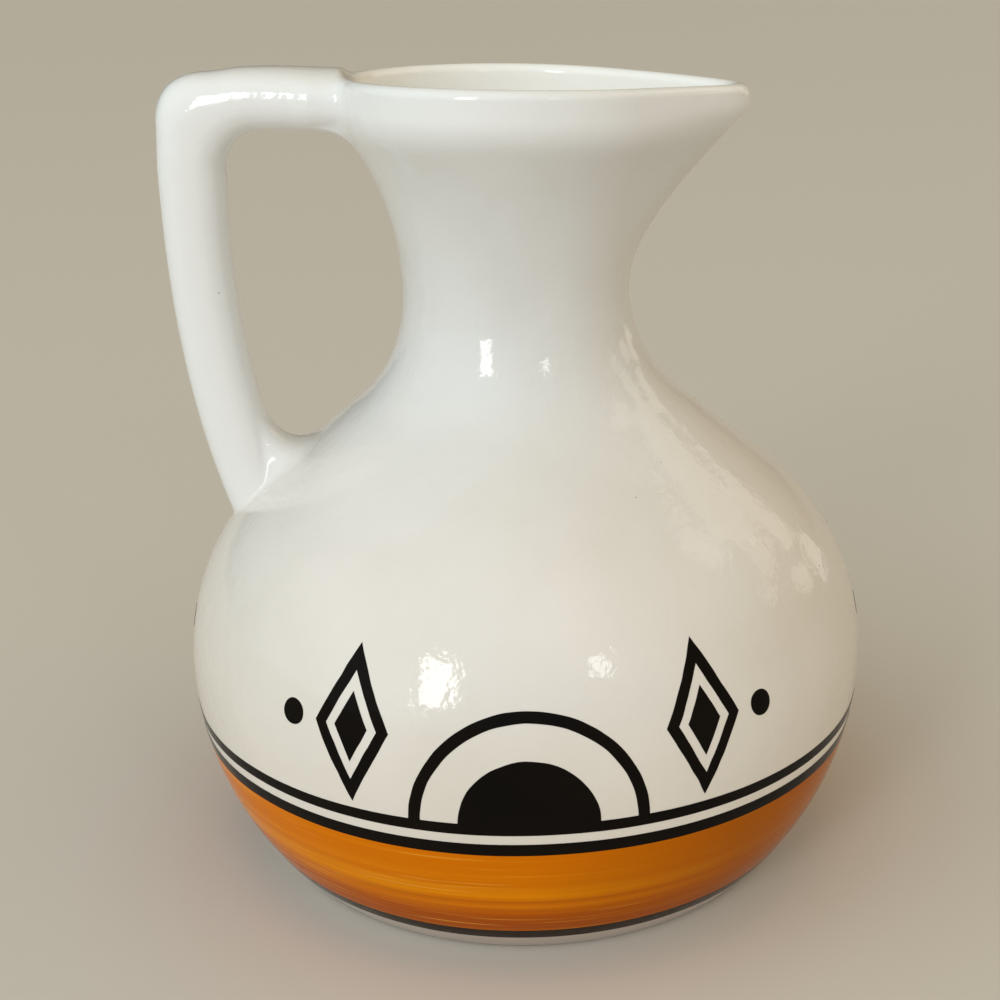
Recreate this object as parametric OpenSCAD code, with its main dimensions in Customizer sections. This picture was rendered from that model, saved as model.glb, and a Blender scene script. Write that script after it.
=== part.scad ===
// Ceramic jug: a slip-cast belly jug with a drawn pouring lip, a luted strap handle and painted bands.
// Millimetres, +Z up. The origin is the centre of the flat foot, on the jug's axis.
// The pouring lip points along +X and the handle stands at -X.

/* [Body] */
// Height of the rim above the foot
rim_h = 200; // [190:1:215]
// Diameter of the rim, outside
rim_d = 85.6; // [78:0.2:92]
// Height of the upright collar under the rim
collar_h = 10.4; // [6:0.1:14]
// Radius of the curve that turns the flare of the neck into the collar
collar_r = 8; // [6.5:0.5:10]
// Diameter of the neck at its waist
waist_d = 57; // [50:0.2:64]
// Height of the waist
waist_h = 148; // [141:0.5:155]
// Radius of the hollow curve between the shoulder and the waist
throat_r = 37.5; // [30:0.5:42]
// Radius of the shoulder's curve
shoulder_r = 58.4; // [52:0.2:64]
// Diameter of the belly at its widest
belly_d = 176.4; // [165:0.2:188]
// Height of the widest point of the belly
belly_h = 53.8; // [47:0.2:60]
// Diameter of the foot where the belly's curve would meet the ground
foot_d = 134.6; // [118:0.2:142]
// Radius of the rounded edge of the foot
foot_edge_r = 2.5; // [1:0.1:4]
// Thickness of the cast wall
wall_t = 4.4; // [3.6:0.1:5.6]
// Thickness of the floor
floor_t = 6; // [4.5:0.1:8]

/* [Pouring lip] */
// How far the tip of the lip stands out past the rim's circle
lip_reach = 14.2; // [8:0.2:20]
// How far the rim falls from the handle's side to the tip of the lip
lip_dip = 3.5; // [0:0.1:7]
// Height of the upright edge at the tip, below the rim
lip_edge_h = 5.7; // [3:0.1:9]
// Height over which the ridge of the lip bends away from the neck
lip_bend = 21.7; // [14:0.1:40]
// Angle over which the tip is rounded, seen from above
lip_soft_a = 10; // [5:0.5:14]
// Thickness of the wall at the ridge of the lip
lip_wall_t = 5.3; // [4.4:0.1:6.4]

/* [Handle] */
// Distance from the jug's axis to the outer face of the handle
handle_reach = 86.8; // [78:0.2:96]
// Thickness of the handle between its finger side and its outer face
handle_t = 14.5; // [11:0.1:17]
// Depth of the handle across the jug, along its leg
handle_depth = 19.6; // [16:0.2:24]
// How much deeper the handle is where it leaves the rim
root_spread = 9; // [0:0.2:12]
// Length from the rim over which the handle narrows to its leg
spread_run = 38; // [30:1:60]
// Radius of the long edges of the handle
handle_edge_r = 6.6; // [3:0.1:7]
// Height of the arm's top above the rim
handle_rise = 2.5; // [0:0.1:5]
// How far the arm sinks on its way to the rim
arm_drop = 0.8; // [0:0.1:3]
// Radius of the bend between arm and leg, at its middle
bend_r = 18.2; // [13:0.2:21]
// Radius of the outer corner of the bend
corner_r = 12; // [9:0.2:20]
// Extra clay under the arm where it leaves the rim
arm_flare = 7; // [3:0.2:9]
// Angle on the shoulder's curve at which the leg lands
land_a = 47.7; // [41:0.1:52]
// How late the leg sweeps in towards the shoulder
leg_curl = 2.4; // [1.8:0.1:3]
// Extra clay on the finger side where the leg lands
leg_flare = 11; // [4:0.2:13]

/* [Slip joints] */
// Thickness of the slip between handle and body
slip_t = 1; // [0.6:0.1:1.6]
// How far the slip squeezes out round the handle
slip_bead = 1.2; // [0.6:0.1:2]
// Clearance between the slip and the body
slip_gap = 0.2; // [0.15:0.05:0.3]

/* [Painted bands] */
// Thickness of the fired colour
paint_t = 0.25; // [0.2:0.05:0.4]
// Height of the bare strip under the foot line
foot_strip_h = 5.7; // [4:0.1:7]
// Height of the black foot line
foot_line_h = 3.6; // [1.5:0.1:5]
// Height of the orange band
orange_h = 27.5; // [23:0.1:32]
// Height of the lower black line
lower_line_h = 3.2; // [2:0.1:5]
// Height of the bare line between the black lines
bare_line_h = 2.5; // [1.5:0.1:4]
// Height of the upper black line
upper_line_h = 2.8; // [2:0.1:5]

/* [Painted motifs] */
// Number of motif groups round the belly
motif_count = 3; // [2:1:4]
// Width of the brush line
brush_w = 2.6; // [1.6:0.1:3.2]
// Outer radius of the arch
arch_r = 27; // [22:0.5:30]
// Radius of the solid half disc under the arch
sun_r = 16; // [10:0.5:18]
// Width of a lozenge
lozenge_w = 19; // [15:0.5:23]
// Height of a lozenge
lozenge_h = 36; // [28:0.5:40]
// Height of the solid lozenge inside a lozenge
seed_h = 16; // [8:0.5:18]
// Space under a lozenge
lozenge_lift = 2; // [1:0.5:4]
// Space between the arch and a lozenge, along the belly
lozenge_space = 5; // [2:0.5:8]
// Diameter of a dot
dot_d = 6; // [4:0.2:7]
// Space between a lozenge and its dot, along the belly
dot_space = 4; // [2:0.5:8]

/* [Hidden] */
$fn = 180;

// Section of the body: tangent arcs, each with its centre and its radius
belly_r = belly_d/2;
foot_r = foot_d/2;
waist_r = waist_d/2;
rim_r = rim_d/2;
lower_r = (pow(belly_r - foot_r, 2) + pow(belly_h, 2))/(2*(belly_r - foot_r));
lower_c = [belly_r - lower_r, belly_h];
shoulder_c = [belly_r - shoulder_r, belly_h];
neck_step = belly_r - waist_r;
neck_rise = waist_h - belly_h;
// The throat's curve is at most the one that meets the shoulder's curve directly
throat_most = (pow(neck_step, 2) + pow(neck_rise, 2))/(2*neck_step) - shoulder_r;
throat = min(throat_r, throat_most);
throat_c = [waist_r + throat, waist_h];
slope_run = throat_c[0] - shoulder_c[0];
slope_a = atan2(neck_rise, slope_run)
        - acos(min(1, (shoulder_r + throat)/norm([slope_run, neck_rise])));
collar_z = rim_h - collar_h;
flare_step = rim_r - waist_r;
flare_rise = collar_z - waist_h;
flare_r = (pow(flare_step, 2) + pow(flare_rise, 2))/(2*flare_step) - collar_r;
flare_c = [waist_r + flare_r, waist_h];
collar_c = [rim_r - collar_r, collar_z];
foot_edge_drop = belly_h - foot_edge_r;
foot_edge_out = sqrt(pow(lower_r - foot_edge_r, 2) - pow(foot_edge_drop, 2));
foot_edge_c = [lower_c[0] + foot_edge_out, foot_edge_r];
foot_a = -atan2(foot_edge_drop, foot_edge_out);
flare_a = atan2(flare_rise, flare_c[0] - collar_c[0]);
rim_edge_r = wall_t/2;
above_rim = rim_h + handle_rise + 2*handle_t;
curve_steps = 14;
edge_steps = 5;

// Heights of the painted bands, from the foot upwards
foot_line_top = foot_strip_h + foot_line_h;
orange_top = foot_line_top + orange_h;
lower_line_top = orange_top + lower_line_h;
upper_line_base = lower_line_top + bare_line_h;
upper_line_top = upper_line_base + upper_line_h;
motif_top = upper_line_top + max(arch_r, lozenge_lift + lozenge_h);
disc_points = 36;

// Where the neck, drawn out to its lip, is divided into rings and points
neck_points = 72;
flare_rings = 8;
collar_rings = 3;
rim_rings = 6;
point_crowding = 1.3;
ring_lap = 0.15;

// Where the handle runs: seat at the rim, arm, bend and leg
handle_mid = handle_reach - handle_t/2;
arm_z = rim_h + handle_rise - handle_t/2;
arm_end = handle_mid - bend_r;
arm_start = rim_r - wall_t;
leg_top = arm_z - bend_r;
land_r = shoulder_c[0] + shoulder_r*cos(land_a);
land_z = belly_h + shoulder_r*sin(land_a);
arm_past = 0.2;
leg_past = 1.25;
arm_flare_to = 0.75;
leg_flare_from = 0.78;
flare_most = 1.3;
spread_ease = 1.25;
arm_stations = 8;
bend_stations = 12;
leg_stations = 20;
edge_points = 6;

// Points along an arc, without its last point, which starts the next stretch
function arc(centre, radius, from, to, count) =
    [for (i = [0:count - 1])
        let (a = from + (to - from)*i/count)
        centre + radius*[cos(a), sin(a)]];

// The outline of the body from the foot to the rim, moved outwards by grow
function outline(grow) = concat(
    grow > -foot_edge_r ? arc(foot_edge_c, foot_edge_r + grow, -90, foot_a, edge_steps) : [],
    arc(lower_c, lower_r + grow, foot_a, 0, curve_steps),
    arc(shoulder_c, shoulder_r + grow, 0, slope_a, curve_steps),
    [shoulder_c + (shoulder_r + grow)*[cos(slope_a), sin(slope_a)]],
    arc(throat_c, throat - grow, 180 + slope_a, 180, curve_steps),
    arc(flare_c, flare_r - grow, 180, 180 - flare_a, curve_steps),
    arc(collar_c, collar_r + grow, -flare_a, 0, edge_steps),
    [[rim_r + grow, collar_z], [rim_r + grow, above_rim]]);

// The stretch of the body's section between two heights, moved outwards by grow
module section(grow, low, high) {
    points = outline(grow);
    intersection() {
        polygon(concat([[0, points[0][1]]], points, [[0, above_rim]]));
        translate([0, low]) square([2*belly_r, high - low]);
    }
}

// A layer that lies on the body between two heights
module layer(inner, outer, low, high) {
    rotate_extrude() difference() {
        section(outer, low, high);
        section(inner, low - outer, high + outer);
    }
}

// Radius of the neck's round part at a height above the waist, moved outwards by grow
function neck_r(z, grow) =
    let (flare_high = collar_z - (collar_r + grow)*flare_rise/(flare_r + collar_r))
    z < flare_high ? flare_c[0] - sqrt(pow(flare_r - grow, 2) - pow(z - waist_h, 2)) :
    z < collar_z ? collar_c[0] + sqrt(pow(collar_r + grow, 2) - pow(z - collar_z, 2)) :
    rim_r + grow;

// Reach of the lip's ridge at a height above the waist: a hyperbola that turns upright at the tip
function ridge_r(z) =
    let (full = rim_h - lip_edge_h - waist_h, up = min(full, z - waist_h))
    let (share = (norm([lip_bend, up]) - lip_bend)/(norm([lip_bend, full]) - lip_bend))
    waist_r + (rim_r + lip_reach - waist_r)*share;

// Distance from the axis at an angle: a circle with two tangent lines that meet in a rounded beak
function beak_r(r, reach, a) =
    let (beak_a = acos(r/reach), soft_a = norm([a, lip_soft_a]) - lip_soft_a)
    soft_a < beak_a ? r/cos(beak_a - soft_a) : r;

// The angles of a ring's points, crowded together at the lip
function ring_angle(i) =
    let (u = 2*i/neck_points - 1)
    180*sign(u)*pow(abs(u), point_crowding);

// One ring of the neck at a height, moved inwards by inset
function ring(z, inset, lap = 0) =
    let (r = neck_r(min(z, rim_h), -inset) + lap)
    let (reach = max(r, ridge_r(z) - inset*lip_wall_t/wall_t))
    [for (i = [0:neck_points - 1])
        let (a = ring_angle(i), d = beak_r(r, reach, a), x = d*cos(a))
        let (dip = lip_dip*pow((x + rim_r)/(2*rim_r + lip_reach), 2)*(z - waist_h)/(rim_h - waist_h))
        [x, d*sin(a), z - dip]];

// The neck above the waist, lofted through its rings: up the outside, over the rim, down the inside
module lofted_neck() {
    flare_high = collar_z - collar_r*flare_rise/(flare_r + collar_r);
    levels = concat(
        [for (i = [0:flare_rings - 1]) waist_h + (flare_high - waist_h)*i/flare_rings],
        [for (i = [0:collar_rings]) flare_high + (collar_z - flare_high)*i/collar_rings]);
    last = len(levels) - 1;
    rings = concat(
        [for (i = [0:last]) ring(levels[i], 0, i == 0 ? ring_lap : 0)],
        [for (i = [0:rim_rings])
            let (a = 180*i/rim_rings)
            ring(rim_h - rim_edge_r*(1 - sin(a)), rim_edge_r*(1 - cos(a)))],
        [for (i = [last:-1:0]) ring(levels[i], wall_t, i == 0 ? -ring_lap : 0)]);
    skin(rings, true);
}

// A solid through a list of rings with equal numbers of points, closed on itself or capped at its ends
module skin(rings, closed) {
    m = len(rings);
    n = len(rings[0]);
    sides = [for (i = [0:m - (closed ? 1 : 2)], j = [0:n - 1])
        let (k = (i + 1) % m, l = (j + 1) % n)
        each [[i*n + j, k*n + j, k*n + l], [i*n + j, k*n + l, i*n + l]]];
    caps = closed ? [] : [[for (j = [0:n - 1]) j], [for (j = [n - 1:-1:0]) (m - 1)*n + j]];
    polyhedron([for (r = rings) each r], concat(sides, caps));
}

// Extra clay outside the bend: its two outer faces run on and meet in a rounded corner
function corner_fill(a) =
    let (outer = bend_r + handle_t/2, inset = max(0, outer - corner_r))
    let (low = min(sin(a), cos(a)), high = max(sin(a), cos(a)))
    (low/high > inset/outer ?
        inset*(sin(a) + cos(a)) + sqrt(max(0, pow(outer - inset, 2) - pow(inset, 2)*(1 - sin(2*a)))) :
        outer/high) - outer;

// Half the handle's depth at a length from the rim, and a flare that grows with the square of a share
function half_depth(length) =
    handle_depth/2 + root_spread/2*pow(min(1, max(0, 1 - length/spread_run)), spread_ease);
function flare(most, share) = most*pow(min(flare_most, max(0, share)), 2);

// Stations along the handle: a point on its middle line, the direction outwards, the extra clay outside
// and on the finger side, and half the depth
function unit(v) = v/norm(v);
function outward(run) = unit([run[1], -run[0]]);
function arm_station(t) =
    [[-arm_start - (arm_end - arm_start)*t, arm_z - arm_drop*(1 - t*t*(3 - 2*t))],
     outward([arm_start - arm_end, 6*arm_drop*t*(1 - t)]),
     0, flare(arm_flare, 1 - t/arm_flare_to),
     half_depth((arm_end - arm_start)*t - wall_t)];
function bend_station(a) =
    [[-arm_end - bend_r*sin(a), leg_top + bend_r*cos(a)], [-sin(a), cos(a)],
     corner_fill(a), 0,
     half_depth(arm_end - rim_r + bend_r*a*PI/180)];
function leg_station(s) =
    let (sweep = handle_mid - land_r)
    [[sweep*pow(s, leg_curl) - handle_mid, leg_top - (leg_top - land_z)*s],
     outward([sweep*leg_curl*pow(s, leg_curl - 1), land_z - leg_top]),
     0, flare(leg_flare, (s - leg_flare_from)/(1 - leg_flare_from)),
     half_depth(arm_end - rim_r + bend_r*PI/2 + (leg_top - land_z)*s)];
handle_stations = concat(
    [for (i = [0:arm_stations - 1]) arm_station((1 + arm_past)*i/arm_stations - arm_past)],
    [for (i = [0:bend_stations - 1]) bend_station(90*i/bend_stations)],
    [for (i = [0:leg_stations]) leg_station(leg_past*i/leg_stations)]);

// The rounded rectangle of the handle's section at a station, grown all round
function handle_ring(station, grow) =
    let (half = handle_t/2 + grow, side = station[4] + grow, r = min(handle_edge_r, handle_t/2 - 0.1) + grow)
    [for (q = [0:3], i = [0:edge_points - 1])
        let (a = 90*q + 90*i/(edge_points - 1), outside = sin(90*q + 45) > 0)
        let (out = (outside ? half - r + station[2] : r - half - station[3]) + r*sin(a))
        let (across = (r - side)*sign(cos(90*q + 45)) - r*cos(a))
        [station[0][0] + station[1][0]*out, across, station[0][1] + station[1][1]*out]];

// The handle's bar before its ends are cut to the body
module handle_bar(grow) {
    skin([for (s = handle_stations) handle_ring(s, grow)], false);
}

// The body and everything inside it, grown outwards, with the rim carried on upwards
module body_form(grow) {
    rotate_extrude() section(grow, 0, above_rim);
}

// One slip-cast piece: foot, belly, shoulder, neck and pouring lip, hollow, with the neck's lip lofted
module body() {
    color("ivory") union() {
        rotate_extrude() difference() {
            section(0, 0, waist_h);
            section(-wall_t, floor_t, above_rim);
        }
        lofted_neck();
    }
}

// The strap handle, cut at both ends to the slip that holds it
module handle() {
    color("ivory") difference() {
        handle_bar(0);
        body_form(slip_t);
    }
}

// A pad of slip between body and handle, between two heights
module slip_pad(low, high) {
    color("ivory") intersection() {
        handle_bar(slip_bead);
        layer(slip_gap, slip_t, low, high);
    }
}

// The slip that holds the arm at the rim
module upper_slip_joint() {
    slip_pad(waist_h, rim_h - rim_edge_r);
}

// The slip that holds the leg on the shoulder
module lower_slip_joint() {
    slip_pad(belly_h, waist_h);
}

// The black line round the foot
module foot_line() {
    color("black") layer(0, paint_t, foot_strip_h, foot_line_top);
}

// The broad brushed band on the lower belly
module orange_band() {
    color("darkorange") layer(0, paint_t, foot_line_top, orange_top);
}

// The black line on top of the orange band
module lower_black_line() {
    color("black") layer(0, paint_t, orange_top, lower_line_top);
}

// The black line that the motifs stand on
module upper_black_line() {
    color("black") layer(0, paint_t, upper_line_base, upper_line_top);
}

// A shape painted on the belly, standing on the upper black line some way along from its group's middle
module on_belly(along) {
    rotate([0, 0, along/belly_r*180/PI]) intersection() {
        layer(0, paint_t, upper_line_top, motif_top);
        rotate([90, 0, 0]) translate([0, upper_line_top, 0]) linear_extrude(2*belly_r) children();
    }
}

// A disc with its middle at a height
module disc(r, middle) {
    polygon(arc([0, middle], r, 0, 360, disc_points));
}

// A lozenge with its middle at a height
module lozenge(w, h, middle) {
    translate([0, middle]) polygon([[0, -h/2], [w/2, 0], [0, h/2], [-w/2, 0]]);
}

// One group: a half disc under an arch, between two lozenges with a dot beside each
module motif_group() {
    middle = lozenge_lift + lozenge_h/2;
    lozenge_along = arch_r + lozenge_space + lozenge_w/2;
    dot_along = lozenge_along + lozenge_w/2 + dot_space + dot_d/2;
    // A lozenge's inside keeps the brush's width along its slanted sides
    inner_h = lozenge_h - 2*brush_w*norm([lozenge_h, lozenge_w])/lozenge_w;
    on_belly(0) {
        difference() {
            disc(arch_r, 0);
            disc(arch_r - brush_w, 0);
        }
        disc(sun_r, 0);
    }
    for (side = [-1, 1]) {
        on_belly(side*lozenge_along) {
            difference() {
                lozenge(lozenge_w, lozenge_h, middle);
                lozenge(lozenge_w*inner_h/lozenge_h, inner_h, middle);
            }
            lozenge(lozenge_w*seed_h/lozenge_h, seed_h, middle);
        }
        on_belly(side*dot_along) disc(dot_d/2, middle);
    }
}

// The black motifs round the belly, each a thin layer of colour
module painted_motifs() {
    color("black") for (i = [0:motif_count - 1]) rotate([0, 0, 360*i/motif_count]) motif_group();
}

body();
handle();
upper_slip_joint();
lower_slip_joint();
foot_line();
orange_band();
lower_black_line();
upper_black_line();
painted_motifs();
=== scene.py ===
# A glazed jug of pale earthenware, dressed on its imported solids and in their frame: metres, +Z up,
# the origin in the middle of the flat foot, the pouring lip along +X and the handle at -X.
import math

import bmesh
import bpy
import numpy as np
from mathutils import Matrix


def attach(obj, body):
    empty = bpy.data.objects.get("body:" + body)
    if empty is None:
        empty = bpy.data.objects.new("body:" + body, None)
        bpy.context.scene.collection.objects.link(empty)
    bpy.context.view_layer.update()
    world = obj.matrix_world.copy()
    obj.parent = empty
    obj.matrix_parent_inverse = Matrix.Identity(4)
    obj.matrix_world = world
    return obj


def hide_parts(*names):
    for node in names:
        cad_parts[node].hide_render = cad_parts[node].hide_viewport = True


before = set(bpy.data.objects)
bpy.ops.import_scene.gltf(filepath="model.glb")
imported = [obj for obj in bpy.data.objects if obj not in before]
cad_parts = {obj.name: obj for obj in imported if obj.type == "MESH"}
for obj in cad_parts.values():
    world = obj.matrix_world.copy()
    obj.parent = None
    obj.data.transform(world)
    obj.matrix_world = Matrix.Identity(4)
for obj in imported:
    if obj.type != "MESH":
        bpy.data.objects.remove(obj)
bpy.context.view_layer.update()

# Body
# One slip-cast piece: flat foot, hollow belly, waisted neck and rim in one wall of pale clay.
# The neck was drawn out to a pouring lip while it was soft; the piece was then fired and glazed.
# Its section is spun round the axis by a geometry tree, which also pulls the lip out. Sizes in mm.
MM = 0.001
rim_h = 200.0
rim_r = 42.8
collar_h = 7.0
collar_r = 14.0
waist_h = 148.0
waist_r = 28.5
throat_r = 37.5
shoulder_r = 58.4
belly_h = 53.8
belly_r = 88.2
foot_r = 67.3
foot_edge_r = 2.5
wall_t = 4.4
floor_t = 6.0
floor_corner_h = 4.0
floor_corner_run = 5.0
pole_r = 0.01
lip_reach = 14.2
lip_dip = 3.5
lip_edge_h = 5.7
lip_bend = 21.7
lip_turn = 1.5
lip_soft_a = math.radians(10)
lip_wall_t = 5.3
neck_lean = -0.7
lean_low = 112.0
lean_high = 188.0
painted_light_low = 187.0
painted_light_run = 6.0
sharp_fold_a = 0.7

lower_r = ((belly_r - foot_r)**2 + belly_h**2)/(2*(belly_r - foot_r))
lower_c = np.array([belly_r - lower_r, belly_h])
shoulder_c = np.array([belly_r - shoulder_r, belly_h])
throat_c = np.array([waist_r + throat_r, waist_h])
slope_run, slope_rise = throat_c - shoulder_c
slope_a = math.atan2(slope_rise, slope_run)
slope_a -= math.acos((shoulder_r + throat_r)/math.hypot(slope_run, slope_rise))
collar_z = rim_h - collar_h
flare_rise = collar_z - waist_h
flare_r = ((rim_r - waist_r)**2 + flare_rise**2)/(2*(rim_r - waist_r)) - collar_r
foot_drop = belly_h - foot_edge_r
foot_out = math.sqrt((lower_r - foot_edge_r)**2 - foot_drop**2)
foot_edge_c = np.array([lower_c[0] + foot_out, foot_edge_r])
foot_a = -math.atan2(foot_drop, foot_out)
rim_edge_r = wall_t/2


def arc(centre, radius, start, end, count):
    """Points along an arc, without its last point, which starts the next stretch."""
    a = np.linspace(start, end, count, endpoint=False)[:, None]
    return centre + radius*np.hstack([np.cos(a), np.sin(a)])


def lower_outline(grow, spacing):
    """The body's outline from the foot up to the waist, moved outwards by grow."""
    slope_dir = np.array([math.cos(slope_a), math.sin(slope_a)])
    slope_low = shoulder_c + (shoulder_r + grow)*slope_dir
    slope_high = throat_c - (throat_r - grow)*slope_dir
    # The whole numbers are rough lengths in mm, which give each stretch its count of points
    stretches = [
        arc(lower_c, lower_r + grow, foot_a, 0, int(60/spacing)),
        arc(shoulder_c, shoulder_r + grow, 0, slope_a, int(52/spacing)),
        np.linspace(slope_low, slope_high, int(24/spacing), endpoint=False),
        arc(throat_c, throat_r - grow, math.pi + slope_a, math.pi, int(34/spacing)),
    ]
    if grow > -foot_edge_r:
        stretches.insert(0, arc(foot_edge_c, foot_edge_r + grow, -math.pi/2, foot_a, 8))
    return np.vstack(stretches)


def neck_radius(z, grow):
    """Radius of the neck's round part at a height above the waist, moved outwards by grow."""
    flare_high = collar_z - (collar_r + grow)*flare_rise/(flare_r + collar_r)
    if z < flare_high:
        return waist_r + flare_r - math.sqrt((flare_r - grow)**2 - (z - waist_h)**2)
    if z < collar_z:
        return rim_r - collar_r + math.sqrt((collar_r + grow)**2 - (z - collar_z)**2)
    return rim_r + grow


def ridge_radius(z):
    """Reach of the lip's ridge at a height: it bends out of the neck and turns upright at the tip."""
    full = rim_h - lip_edge_h - waist_h
    up = np.minimum(full, z - waist_h + np.linspace(-lip_turn, lip_turn, 13))
    share = (np.hypot(lip_bend, up) - lip_bend)/(math.hypot(lip_bend, full) - lip_bend)
    return waist_r + (rim_r + lip_reach - waist_r)*share.mean()


def neck_row(z, inset):
    """Round radius, ridge radius and height of one row of the neck, moved inwards by inset."""
    r = neck_radius(min(z, rim_h), -inset)
    return r, max(r, ridge_radius(z) - inset*lip_wall_t/wall_t), z


def lean(z):
    """How far the drawn neck leans towards the handle at a height."""
    share = np.clip((z - lean_low)/(lean_high - lean_low), 0, 1)
    return neck_lean*np.sin(math.pi*share)**2


def body_painted_light(z):
    """How much painted light pales the glaze on the body at a height: most of it on the collar."""
    return np.clip((z - painted_light_low)/painted_light_run, 0, 1)


def feed(tree, socket, value):
    """Links a node's input to another node's output, or sets it to a value."""
    if isinstance(value, bpy.types.NodeSocket):
        tree.links.new(value, socket)
    else:
        socket.default_value = value


def add(tree, kind, inputs=None, **settings):
    """Adds a node with its settings and inputs."""
    node = tree.nodes.new(kind)
    for name, value in settings.items():
        setattr(node, name, value)
    for name, value in (inputs or {}).items():
        feed(tree, node.inputs[name], value)
    return node


def calc(tree, operation, *values):
    """Adds a math node and returns its result."""
    node = tree.nodes.new("ShaderNodeMath")
    node.operation = operation
    for socket, value in zip(node.inputs, values):
        feed(tree, socket, value)
    return node.outputs[0]


def beyond(tree, value, start, gain):
    """How far a value lies beyond a start, times a gain."""
    return calc(tree, "MULTIPLY", calc(tree, "SUBTRACT", value, start), gain)


def read(tree, name):
    """Reads a named number of each point inside a geometry tree."""
    return add(tree, "GeometryNodeInputNamedAttribute", {"Name": name}, data_type="FLOAT").outputs[0]


def open_tree(name, inputs):
    """Starts a geometry tree with named inputs, and returns it with its input node and their keys."""
    tree = bpy.data.node_groups.new(name, "GeometryNodeTree")
    tree.interface.new_socket("Geometry", in_out="INPUT", socket_type="NodeSocketGeometry")
    keys = {}
    for label, kind in inputs.items():
        socket = tree.interface.new_socket(label, in_out="INPUT", socket_type="NodeSocket" + kind)
        keys[label] = socket.identifier
    tree.interface.new_socket("Geometry", in_out="OUTPUT", socket_type="NodeSocketGeometry")
    return tree, tree.nodes.new("NodeGroupInput").outputs, keys


def close_tree(tree, geometry, material):
    """Ends a geometry tree: smooth but for sharp folds, real mesh, with its finish."""
    smooth = add(tree, "GeometryNodeSetShadeSmooth", {"Geometry": geometry})
    fold = add(tree, "GeometryNodeInputMeshEdgeAngle").outputs[0]
    sharp = calc(tree, "GREATER_THAN", fold, sharp_fold_a)
    edged = add(tree, "GeometryNodeSetShadeSmooth",
                {"Geometry": smooth.outputs[0], "Selection": sharp, "Shade Smooth": False}, domain="EDGE")
    real = add(tree, "GeometryNodeRealizeInstances", {"Geometry": edged.outputs[0]})
    coloured = add(tree, "GeometryNodeSetMaterial", {"Geometry": real.outputs[0], "Material": material})
    tree.links.new(coloured.outputs[0], tree.nodes.new("NodeGroupOutput").inputs[0])


def new_piece(name, points, edges, faces, attributes):
    """A new object at the origin, with point attributes for its tree or its glaze to read."""
    mesh = bpy.data.meshes.new(name)
    mesh.from_pydata([tuple(p) for p in points], edges, faces)
    for label, values in attributes.items():
        mesh.attributes.new(label, "FLOAT", "POINT").data.foreach_set("value", np.asarray(values, float))
    piece = bpy.data.objects.new(name, mesh)
    bpy.context.scene.collection.objects.link(piece)
    return piece


def face_outwards(mesh):
    """Turns the faces of a closed mesh outwards."""
    shell = bmesh.new()
    shell.from_mesh(mesh)
    bmesh.ops.recalc_face_normals(shell, faces=shell.faces)
    shell.to_mesh(mesh)
    shell.free()


def settle(piece, tree, keys, values):
    """Runs a geometry tree on a piece and keeps the result as its mesh."""
    modifier = piece.modifiers.new(tree.name, "NODES")
    modifier.node_group = tree
    for label, value in values.items():
        modifier[keys[label]] = value
    graph = bpy.context.evaluated_depsgraph_get()
    made = bpy.data.meshes.new_from_object(piece.evaluated_get(graph), depsgraph=graph)
    piece.modifiers.remove(modifier)
    piece.data = made
    made.name = piece.name
    face_outwards(made)


# The tree that spins a section: every point is placed from its row's radii, height and lean
spin, given, spin_keys = open_tree("Section spun round the axis", {
    "Points round": "Int", "Crowding at the lip": "Float", "Rounding of the tip": "Float",
    "Rim radius": "Float", "Lip reach": "Float", "Dip of the rim": "Float", "Waist height": "Float",
    "Rim height": "Float", "Waver": "Float", "Finish": "Material"})
circle = add(spin, "GeometryNodeCurvePrimitiveCircle", {"Resolution": given["Points round"]})
turn = add(spin, "GeometryNodeSplineParameter").outputs["Factor"]
rail = add(spin, "GeometryNodeStoreNamedAttribute",
           {"Geometry": circle.outputs[0], "Name": "turn", "Value": turn}, data_type="FLOAT", domain="POINT")
profile = add(spin, "GeometryNodeMeshToCurve", {"Mesh": given["Geometry"]})
spun = add(spin, "GeometryNodeCurveToMesh", {"Curve": rail.outputs[0], "Profile Curve": profile.outputs[0]})
side = calc(spin, "MULTIPLY_ADD", read(spin, "turn"), 2.0, -1.0)
crowded = calc(spin, "POWER", calc(spin, "ABSOLUTE", side), given["Crowding at the lip"])
angle = calc(spin, "MULTIPLY", calc(spin, "MULTIPLY", calc(spin, "SIGN", side), crowded), math.pi)

# Round the axis a row is a circle, and within the beak's angle a straight line that runs to the ridge
row_r = read(spin, "round_r")
beak_cosine = calc(spin, "MINIMUM", calc(spin, "DIVIDE", row_r, read(spin, "ridge_r")), 1.0)
beak_a = calc(spin, "ARCCOSINE", beak_cosine)
softness = given["Rounding of the tip"]
far = calc(spin, "ADD", calc(spin, "POWER", angle, 2.0), calc(spin, "POWER", softness, 2.0))
far = calc(spin, "SQRT", far)
left_over = calc(spin, "MAXIMUM", calc(spin, "ADD", calc(spin, "SUBTRACT", beak_a, far), softness), 0.0)
reach = calc(spin, "DIVIDE", row_r, calc(spin, "COSINE", left_over))
row_x = calc(spin, "MULTIPLY", reach, calc(spin, "COSINE", angle))
row_y = calc(spin, "MULTIPLY", reach, calc(spin, "SINE", angle))

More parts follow.
